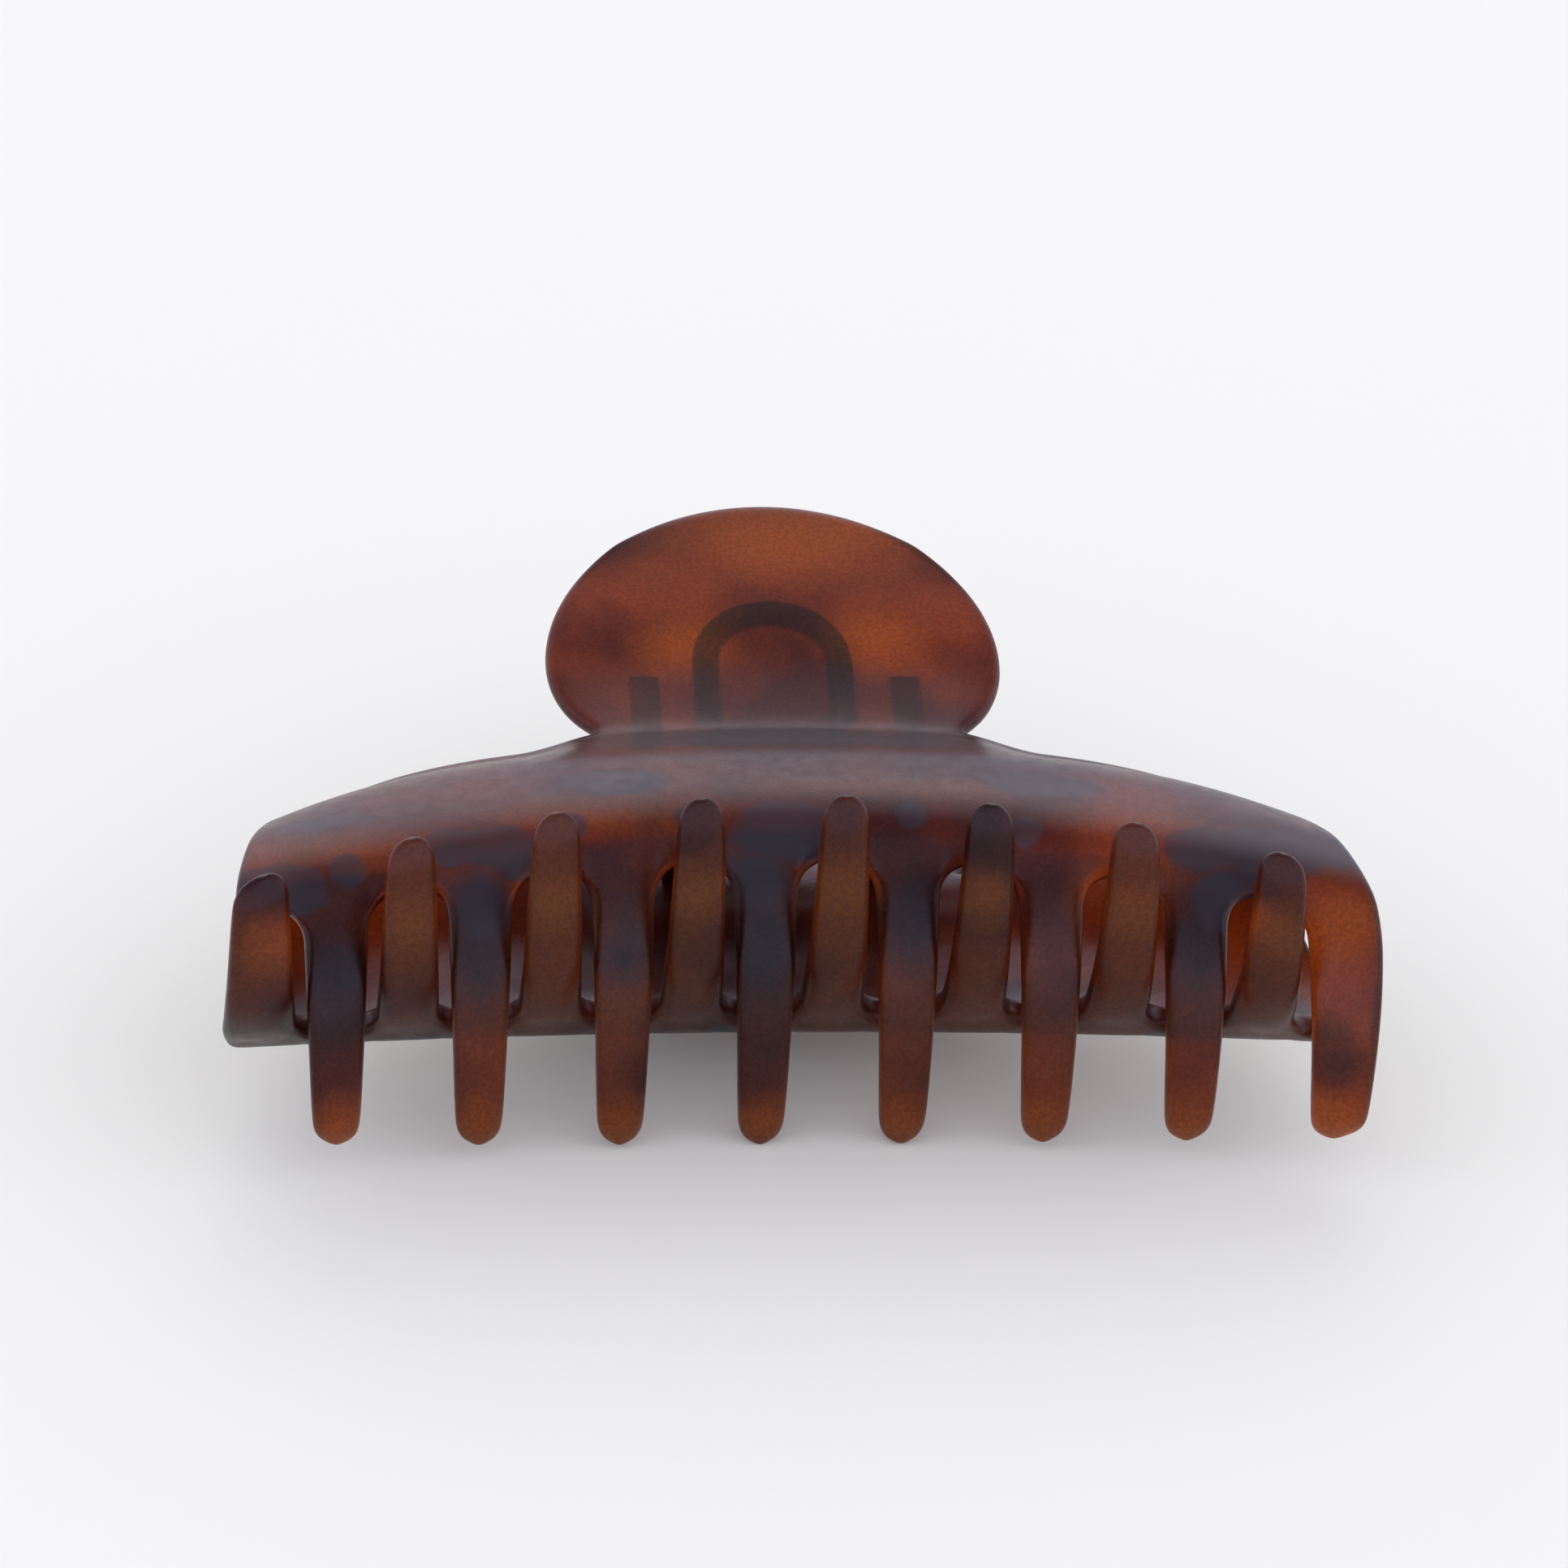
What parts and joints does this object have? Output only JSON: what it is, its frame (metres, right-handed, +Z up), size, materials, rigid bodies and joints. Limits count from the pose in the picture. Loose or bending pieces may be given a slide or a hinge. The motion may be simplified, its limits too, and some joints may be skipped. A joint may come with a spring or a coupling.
{
  "type": "claw hair clip",
  "caption": "Large claw hair clip: two curved, toothed jaws with oval thumb tabs on a pin hinge, closed by a double torsion spring.",
  "frame": {"origin": "on the surface that the clip lies on, under the middle of its box", "axes": "+X along the hinge, +Y towards the thumb tabs, +Z up; the clip lies on its back with its teeth towards -Y"},
  "size_m": [0.11, 0.0735, 0.038],
  "materials": {
    "tortoiseshell": "matte translucent cellulose acetate with dark spots",
    "pin_steel": "satin",
    "spring_steel": "drawn wire"
  },
  "bodies": {
    "lower_body": {"lower_jaw": "tortoiseshell", "hinge_pin": "pin_steel"},
    "upper_body": {"upper_jaw": "tortoiseshell", "torsion_spring": "spring_steel"}
  },
  "joints": [
    {"name": "jaw_hinge", "type": "hinge", "parent": "lower_body", "child": "upper_body", "pos_m": [0, 0.00525, 0.019], "axis": [-1, 0, 0], "range_deg": [0, 53], "stiffness_Nm_per_rad": 0.2, "springref_deg": -40.11, "deforming": ["torsion_spring"]}
  ]
}
